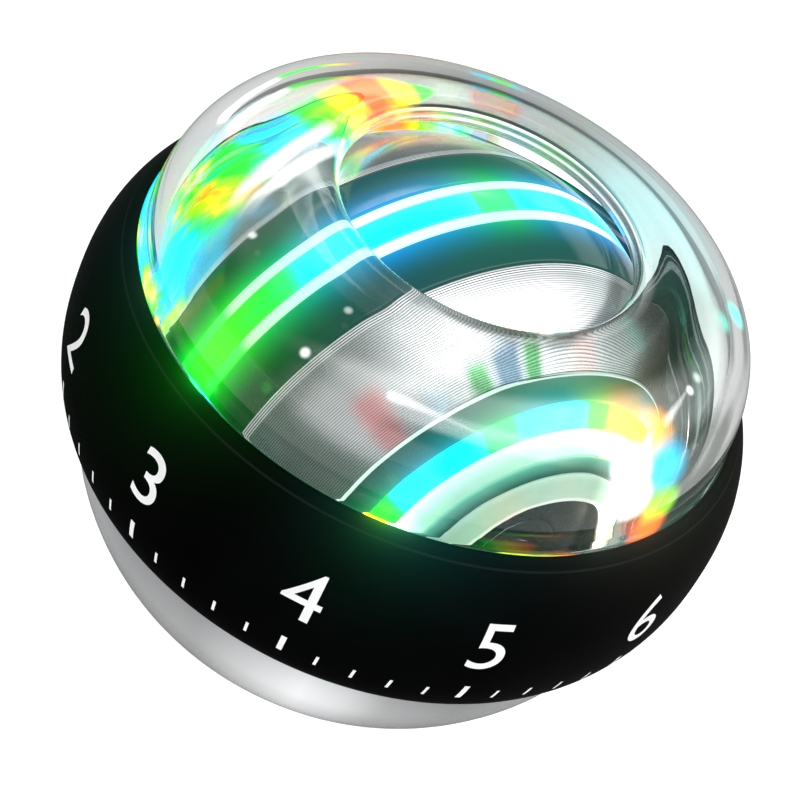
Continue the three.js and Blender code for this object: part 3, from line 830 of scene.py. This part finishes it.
def frosted_plastic():
    look = Look("frosted plastic")
    z = look.coordinate("z")
    cloud = look.noise(120.0, 2.0)
    # Painted shade: darker towards the grip at the top
    tone = look.ramp(look.spread(z, 0.0, BOWL_TOP), [
        (0.0, (0.9, 0.905, 0.91)), (0.7, (0.86, 0.865, 0.87)), (1.0, (0.6, 0.61, 0.62)),
    ])
    # Painted shade: some sides darker than others, by heading
    side = look.ramp(look.heading(), by_angle(BOWL_PAINTED_SHADE))
    tone = look.mix(1.0, tone, side, "MULTIPLY")
    lines = [look.math("COMPARE", z, height, half) for height, half in BOWL_LINES]
    line = look.math("MAXIMUM", *lines)
    tone = look.mix(look.math("MULTIPLY", line, 0.5), tone, (0.3, 0.31, 0.32))
    # Painted shade: darker where the surface turns away towards its outline
    edge = look.node("ShaderNodeLayerWeight")
    edge.inputs["Blend"].default_value = 0.35
    rim = look.spread(edge.outputs["Facing"], 0.5, 1.0, 0, 0.5)
    tone = look.mix(rim, tone, (0.36, 0.37, 0.38))
    tone = look.mix(0.08, tone, cloud, "MULTIPLY")
    look.set(
        Base_Color=tone,
        Roughness=look.vary(cloud, 0.1, 0.16),
        Transmission_Weight=0.25,
        IOR=1.48,
        Coat_Weight=0.6,
        Coat_Roughness=0.05,
        # Painted light: the bowl glows with its own tone
        Emission_Color=tone,
        Emission_Strength=0.4,
    )
    return look.material


def lit_from_inside(look, strength):
    """Paints the wheel's light as glow onto a piece inside the casing, by its heading."""
    glow = look.ramp(look.heading(), by_angle(INSIDE_COLORS))
    look.set(Emission_Color=glow, Emission_Strength=strength)


def rubber(name="satin rubber", lit=False):
    look = Look(name)
    fine = look.noise(2600.0, 3.0)
    broad = look.blotch(look.noise(90.0, 2.0), (0.0008, 0.0008, 0.0009), (0.0016, 0.0016, 0.0018))
    # Painted highlight: a slightly lighter line round the grip near its top edge
    painted_highlight_line = look.math("COMPARE", look.coordinate("z"), GRIP_HIGHLIGHT_LINE_HEIGHT, 0.1 * MM)
    look.set(
        Base_Color=look.mix(painted_highlight_line, broad, (0.008, 0.009, 0.009)),
        Roughness=look.vary(fine, 0.42, 0.55),
        Specular_IOR_Level=0.01,
        Normal=look.bump(fine, 0.02 * MM, 0.5),
    )
    if lit:
        lit_from_inside(look, 1.6)
    return look.material


def ring_finish():
    look = Look("ring plastic")
    grain = look.noise(700.0, 3.0)
    look.set(
        Base_Color=look.blotch(grain, (0.018, 0.018, 0.02), (0.03, 0.03, 0.032)),
        Roughness=look.vary(grain, 0.15, 0.25),
        Normal=look.bump(grain, 0.01 * MM, 0.4),
    )
    lit_from_inside(look, 2.4)
    return look.material


def plain(name, dark, light, roughness, metallic=0.0, scale=500.0, bump=0.01, specular=0.5, glow=0.0):
    """Moulded or turned stock with a faint grain in its colour, gloss and surface, and an optional
    painted white glow.
    """
    look = Look(name)
    grain = look.noise(scale, 3.0)
    look.set(
        Base_Color=look.blotch(grain, dark, light),
        Metallic=metallic,
        Roughness=look.vary(grain, roughness * 0.85, roughness * 1.15),
        Specular_IOR_Level=specular,
        Normal=look.bump(grain, bump * MM, 0.5),
    )
    if glow:
        look.set(Emission_Color=look.blotch(grain, grey(0.9), WHITE), Emission_Strength=glow)
    return look.material


# Painted glow across the cup's rim and the trim from their outer edges in, and across the mint
# ring from its inner edge out, with those edges' places. The flares are painted highlights:
# strengths by degrees round the axle
CUP_RIM_RADII = (26.2 * MM, 26.5 * MM)
CUP_EDGES = (22.95 * MM, 23.85 * MM)
TRIM_EDGES = (21.55 * MM, 23.0 * MM)
HUB_EDGES = (10.0 * MM, 12.7 * MM)
CUP_GLOW = [
    (0.0, (0.3, 0.8, 0.55)), (0.25, (0.12, 0.45, 0.32)), (0.8, (0.02, 0.11, 0.08)),
    (1.0, (0.01, 0.05, 0.04)),
]
TRIM_GLOW = [
    (0.0, (0.9, 1.0, 0.95)), (0.2, (0.75, 1.0, 0.88)), (0.6, (0.42, 0.8, 0.62)),
    (1.0, (0.3, 0.68, 0.5)),
]
TRIM_FLARE = [
    (-180, WHITE), (4, WHITE), (12, (3, 6, 3)), (19, (3, 6, 3)), (30, (1.3, 1.5, 1.3)),
    (45, WHITE), (95, WHITE), (125, (3, 3, 2.6)), (150, (10, 9.2, 8)), (175, (8, 6, 4)),
    (180, WHITE),
]
HUB_GLOW = [
    (0.0, (0.95, 1.0, 0.97)), (0.14, (0.95, 1.0, 0.97)), (0.2, (0.42, 0.62, 0.5)),
    (0.75, (0.36, 0.6, 0.47)), (1.0, (0.5, 0.75, 0.62)),
]
HUB_FLARE = [
    (-180, WHITE), (45, WHITE), (62, (1.2, 0.95, 0.85)), (80, WHITE), (115, WHITE),
    (135, (3, 2.8, 2.4)), (170, (4, 3.4, 2.6)), (180, WHITE),
]


def cup_finish():
    """Dark plastic whose outer rim has the trim's light painted on as glow."""
    look = Look("dark cup")
    from_centre = look.hypotenuse(look.coordinate("x"), look.round_radius("x"))
    on_rim = look.spread(from_centre, *CUP_RIM_RADII)
    grain = look.noise(500.0, 3.0)
    glow = look.ramp(look.spread(look.away(), *CUP_EDGES), CUP_GLOW)
    look.set(
        Base_Color=look.blotch(grain, (0.005, 0.0042, 0.0038), (0.009, 0.0075, 0.007)),
        Emission_Color=look.mix(on_rim, (0, 0, 0), glow),
        Emission_Strength=1.0,
        Roughness=look.vary(grain, 0.24, 0.32),
        Specular_IOR_Level=0.2,
        Normal=look.bump(grain, 0.01 * MM, 0.5),
    )
    return look.material


def flaring(look, across, glow, flare, strength, dark, light, roughness):
    """Pale plastic with painted glow by its place across the ring and round the axle."""
    grain = look.noise(500.0, 3.0)
    glow = look.ramp(across, glow)
    flare = look.ramp(look.turn(), by_angle(flare))
    look.set(
        Base_Color=look.blotch(grain, dark, light),
        Emission_Color=look.mix(1.0, glow, flare, "MULTIPLY"),
        Emission_Strength=strength,
        Roughness=look.vary(grain, *roughness),
    )
    return look.material


def trim_finish():
    """White trim with painted glow, brightest at its outer edge and where the side light is strongest.
    """
    look = Look("white trim")
    across = look.spread(look.away(), *TRIM_EDGES)
    dark, light = (0.3, 0.36, 0.34), (0.36, 0.42, 0.4)
    return flaring(look, across, TRIM_GLOW, TRIM_FLARE, 0.85, dark, light, (0.17, 0.23))


def hub_ring_finish():
    """Pale mint plastic with painted glow, brightest at its inner edge."""
    look = Look("mint ring")
    across = look.spread(look.round_radius("x"), *HUB_EDGES)
    dark, light = (0.22, 0.28, 0.25), (0.28, 0.34, 0.31)
    return flaring(look, across, HUB_GLOW, HUB_FLARE, 0.8, dark, light, (0.2, 0.28))


# The dark rings' painted glow near the lights and its tail far from them, by degrees round the axle
RIM_GLOW = [
    (-180, (0.0, 0.3, 0.1)), (-60, (0.0, 0.3, 0.6)), (0, (0.0, 0.6, 0.1)), (12, (0.0, 0.8, 0.01)),
    (26, (0.02, 0.6, 0.02)), (38, (0.0, 0.4, 0.15)), (50, (0.0, 0.28, 0.5)), (62, (0.0, 0.25, 0.7)),
    (78, (0.0, 0.24, 0.5)), (90, (0.0, 0.45, 0.1)), (100, (0.0, 0.26, 0.45)), (118, (0.0, 0.25, 0.7)),
    (140, (0.0, 0.25, 0.3)), (180, (0.0, 0.3, 0.1)),
]
CAP_GLOW = [
    (-180, (0.0, 0.2, 0.1)), (-60, (0.0, 0.3, 0.3)), (0, (0.02, 0.3, 0.05)), (20, (0.02, 0.35, 0.12)),
    (40, (0.02, 0.22, 0.22)), (62, (0.03, 0.25, 0.16)), (90, (0.02, 0.3, 0.2)), (104, (0.3, 0.6, 0.05)),
    (114, (1.2, 0.4, 0.05)), (124, (1.2, 0.7, 0.2)), (131, (0.1, 0.8, 1.2)), (146, (0.1, 0.8, 1.2)),
    (151, (0.1, 1.2, 0.1)), (157, (1.2, 1.0, 0.0)), (164, (1.2, 0.3, 0.0)), (172, (1.2, 0.1, 0.0)),
    (178, (0.05, 1.0, 0.05)),
]
RIM_FAR = [
    (-180, (0.01, 0.05, 0.04)), (0, (0.003, 0.05, 0.005)), (25, (0.004, 0.05, 0.006)),
    (45, (0.008, 0.05, 0.035)), (60, (0.01, 0.055, 0.055)), (100, (0.01, 0.07, 0.05)),
    (130, (0.01, 0.055, 0.055)), (180, (0.01, 0.05, 0.04)),
]
CAP_FAR = [
    (-180, (0.01, 0.05, 0.04)), (0, (0.004, 0.05, 0.01)), (30, (0.01, 0.06, 0.045)),
    (60, (0.01, 0.08, 0.05)), (90, (0.03, 0.2, 0.1)), (120, (0.02, 0.1, 0.05)),
    (180, (0.01, 0.05, 0.04)),
]

strip_light = light_strip("strip light", STRIP_COLORS)
side_light = light_strip("side light", SIDE_COLORS)
edge_light = edge_lines()
rim_plastic = smoked("smoked rim", RIM_GLOW, RIM_FAR, glow_from=2.8, glow_to=6.6)
cap_plastic = smoked("smoked cap", CAP_GLOW, CAP_FAR, glow_from=20.2, glow_to=17.6, edge=18.08)
metal = spun_metal()
clear = clear_plastic()
frosted = frosted_plastic()
grip = rubber()
grip_inside = rubber("lit rubber", lit=True)
white_trim = trim_finish()
mint = hub_ring_finish()
# The print's white glow is painted light
printed = plain("print", (0.72, 0.73, 0.73), (0.82, 0.83, 0.83), 0.4, specular=0.3, glow=0.22)
dark_cup = cup_finish()
ring_plastic = ring_finish()
holder_plastic = plain("holder plastic", (0.01, 0.01, 0.011), (0.02, 0.02, 0.022), 0.35, specular=0.3)
steel = plain("turned steel", (0.5, 0.5, 0.51), (0.66, 0.66, 0.67), 0.22, metallic=1.0, scale=900.0)
zinc = plain("cast zinc", (0.3, 0.31, 0.32), (0.46, 0.47, 0.48), 0.5, metallic=1.0, bump=0.05)
magnet = plain("magnet", (0.4, 0.4, 0.41), (0.55, 0.55, 0.56), 0.25, metallic=1.0)
board = plain("board", (0.015, 0.12, 0.05), (0.03, 0.2, 0.09), 0.4)
lamp = plain("small lamp", (0.9, 0.85, 0.6), (1.0, 0.95, 0.75), 0.25)
copper = plain("copper wire", (0.5, 0.2, 0.08), (0.7, 0.3, 0.12), 0.3, metallic=1.0, scale=1500.0)

# The dome's two corners beside the grip's edge: kept, or the smooth curve would bend past them
grip_edge = [(32.2 * MM, 43.6 * MM), (30.0 * MM, 43.6 * MM)]
dress("upper_shell", "z", clear, sides=256, steps=5, rounding=0.12, corner=50, kept=grip_edge)
dress("lower_shell", "z", frosted, sides=256, steps=4, rounding=0.12)
grip_piece = dress("grip_band", "z", grip, sides=256, steps=4, rounding=0.3, inset=GRIP_INSET)
printed_scale(grip_piece, printed)
grip_piece.data.materials.append(grip_inside)
for face in grip_piece.data.polygons:
    spot, way = face.center, face.normal
    if spot.x * way.x + spot.y * way.y < 0:
        face.material_index = 1
dress("light_band", "x", strip_light, inset=BAND_INSET)
for side in ("right", "left"):
    dress(f"light_edge_{side}", "x", edge_light)
    dress(f"rim_{side}", "x", rim_plastic)
    dress(f"side_plate_{side}", "x", metal)
    dress(f"side_cap_{side}", "x", cap_plastic)
    dress(f"side_light_{side}", "x", side_light)
    dress(f"side_trim_{side}", "x", white_trim)
    dress(f"hub_cup_{side}", "x", dark_cup)
    dress(f"hub_ring_{side}", "x", mint)
dress("axle", "x", steel, sides=64)
dress("ring_magnet", "x", magnet, sides=96)
dress("coil_bobbin", "x", dark_cup, sides=96)
dress("pickup_coil", "x", copper, sides=96)

# CAD nodes that keep their own meshes
carried_over = {"guide_ring": ring_plastic, "magnet_holder": holder_plastic, "flywheel": zinc}
for side in ("right", "left"):
    carried_over[f"led_board_{side}"] = board
    for i in (1, 2, 3):
        carried_over[f"led_{side}_{i}"] = lamp
for node, material in carried_over.items():
    for slot in frame["nodes"][node].material_slots:
        slot.material = material


# Stage

FLOOR_RADIUS = 1.6
FLOOR_GLOW = 0.9
FLOOR_GLOW_THROUGH = 1.05
FLOOR_SHARE_MIRRORED = 0.12
FLOOR_GLOW_TURNED_BACK = 0.75
ROOM_SEEN_THROUGH = (1.05, 1.06, 1.06)


def bounces(nodes):
    """How often a ray was mirrored, how often it went through something, and if only the latter."""
    path = nodes.node("ShaderNodeLightPath").outputs
    bounced = nodes.math("MAXIMUM", path["Glossy Depth"], path["Diffuse Depth"])
    return path["Glossy Depth"], path["Transmission Depth"], nodes.math("LESS_THAN", bounced, 0.5)


def floor_material():
    """Paler where it is seen straight through the clear plastic, and darker where the object
    mirrors it, unless the plastic's wall has turned the ray back."""
    look = Look("floor")
    mirrors, crossings, straight = bounces(look)
    through = look.math("MULTIPLY", look.math("GREATER_THAN", crossings, 0.5), straight)
    mirrored = look.math("GREATER_THAN", mirrors, 0.5)
    turned_back = look.math("MULTIPLY", mirrored, look.math("COMPARE", crossings, 2, 0.5))
    glow = look.spread(through, 0, 1, FLOOR_GLOW, FLOOR_GLOW_THROUGH)
    glow = look.math("MULTIPLY", glow, look.spread(mirrored, 0, 1, 1, FLOOR_SHARE_MIRRORED))
    glow = look.math("MAXIMUM", glow, look.math("MULTIPLY", turned_back, FLOOR_GLOW_TURNED_BACK))
    tone = look.blotch(look.noise(6.0, 2.0), grey(0.3), grey(0.32))
    look.set(
        Base_Color=look.mix(mirrored, tone, grey(0.06)),
        Roughness=0.9,
        Specular_IOR_Level=0.0,
        Emission_Color=(1, 1, 1, 1),
        Emission_Strength=glow,
    )
    return look.material


def stage():
    mesh = bpy.data.meshes.new("floor")
    shape = bmesh.new()
    bmesh.ops.create_circle(shape, cap_ends=True, segments=96, radius=FLOOR_RADIUS)
    shape.to_mesh(mesh)
    shape.free()
    mesh.materials.append(floor_material())
    floor = bpy.data.objects.new("floor", mesh)
    bpy.context.scene.collection.objects.link(floor)


# Soft lamps around the ball: direction, long axis, half length, half width, level, colour
LAMPS = [
    ((0.33, 0.2, 0.92), (0, 1, 0), 0.95, 0.42, 2.6, WHITE),
    ((0.62, 0.05, 0.78), (0.3, 0.9, -0.3), 0.55, 0.25, 2.2, WHITE),
    ((-0.75, 0.18, 0.64), (0.21, 0.97, -0.03), 0.5, 0.04, 4.5, WHITE),
    ((-0.75, 0.1, 0.65), (0.13, 0.99, 0), 0.7, 0.3, 0.5, WHITE),
    ((-0.2, 0.93, 0.3), (1, 0.2, 0), 0.6, 0.2, 1.2, (0.85, 1, 0.98)),
    ((0.38, -0.9, 0.2), (0, 0, 1), 0.5, 0.35, 0.65, WHITE),
    ((0.75, -0.62, 0.2), (0, 0, 1), 0.35, 0.3, 0.6, WHITE),
]
# The room's own light, from straight down to straight up
ROOM = [(0.0, grey(0.3)), (0.5, grey(0.22)), (0.56, grey(0.1)), (0.7, grey(0.06)), (1.0, grey(0.06))]


def world():
    made = bpy.data.worlds.new("studio")
    bpy.context.scene.world = made
    made.use_nodes = True
    nodes = Nodes(made.node_tree)
    way = nodes.node("ShaderNodeTexCoord").outputs["Generated"]
    height = nodes.node("ShaderNodeSeparateXYZ", way).outputs[2]
    total = nodes.ramp(nodes.spread(height, -1, 1), ROOM)
    for direction, long_axis, half_long, half_wide, level, color in LAMPS:
        toward = Vector(direction).normalized()
        wide = toward.cross(Vector(long_axis)).normalized()
        lengthwise = wide.cross(toward)
        share = nodes.math("GREATER_THAN", nodes.dot(way, tuple(toward)), 0.0)
        for axis, half in ((lengthwise, half_long), (wide, half_wide)):
            off = nodes.math("ABSOLUTE", nodes.dot(way, tuple(axis)))
            near = nodes.spread(off, half * 0.5, half, 1, 0, "SMOOTHSTEP")
            share = nodes.math("MULTIPLY", share, near)
        lamp_light = nodes.mix(share, (0, 0, 0), tuple(level * c for c in color))
        total = nodes.mix(1.0, total, lamp_light, "ADD")
    # Clear plastic shows the white room behind it; what it mirrors is the dark one with lamps
    straight = bounces(nodes)[2]
    total = nodes.mix(straight, total, ROOM_SEEN_THROUGH)
    nodes.feed(made.node_tree.nodes["Background"].inputs["Color"], total)


# The photo's view: angles in degrees, distance from the ball's centre, lens and shift
AZIMUTH, ELEVATION, ROLL = 44.8, 39.93, 26.40
DISTANCE = 0.25997
LENS_MM, SENSOR_MM = 110.88, 36
SHIFT = (-0.00871, -0.016375)


def camera():
    azimuth, elevation, roll = (math.radians(angle) for angle in (AZIMUTH, ELEVATION, ROLL))
    back = Vector((
        math.sin(azimuth) * math.cos(elevation),
        -math.cos(azimuth) * math.cos(elevation),
        math.sin(elevation),
    ))
    level = Vector((math.cos(azimuth), math.sin(azimuth), 0))
    high = back.cross(level)
    right = math.cos(roll) * level + math.sin(roll) * high
    up = -math.sin(roll) * level + math.cos(roll) * high
    data = bpy.data.cameras.new("camera")
    data.lens, data.sensor_width = LENS_MM, SENSOR_MM
    data.shift_x, data.shift_y = SHIFT
    data.clip_start = 0.01
    made = bpy.data.objects.new("camera", data)
    turned = Matrix((right, up, back)).transposed().to_4x4()
    made.matrix_world = Matrix.Translation(Vector((0, 0, CENTRE_HEIGHT)) + back * DISTANCE) @ turned
    bpy.context.scene.collection.objects.link(made)
    bpy.context.scene.camera = made


def bloom():
    """The soft shine round the brightest lights."""
    scene = bpy.context.scene
    scene.use_nodes = True
    tree = scene.node_tree
    tree.nodes.clear()
    layers = tree.nodes.new("CompositorNodeRLayers")
    glare = tree.nodes.new("CompositorNodeGlare")
    glare.glare_type = "BLOOM"
    settings = {"Threshold": 1.2, "Clamp": True, "Maximum": 6.0, "Strength": 0.28, "Size": 0.2}
    for key, value in settings.items():
        glare.inputs[key].default_value = value
    output = tree.nodes.new("CompositorNodeComposite")
    tree.links.new(layers.outputs["Image"], glare.inputs["Image"])
    tree.links.new(glare.outputs["Image"], output.inputs["Image"])


def deep_bounces():
    """The thick clear mouth bends light many times before it comes out."""
    cycles = bpy.context.scene.cycles
    cycles.max_bounces = 24
    cycles.glossy_bounces = 16
    cycles.transmission_bounces = 24


stage()
world()
camera()
bloom()
deep_bounces()
bpy.context.scene.view_settings.view_transform = "Standard"
bpy.context.scene.view_settings.look = "None"
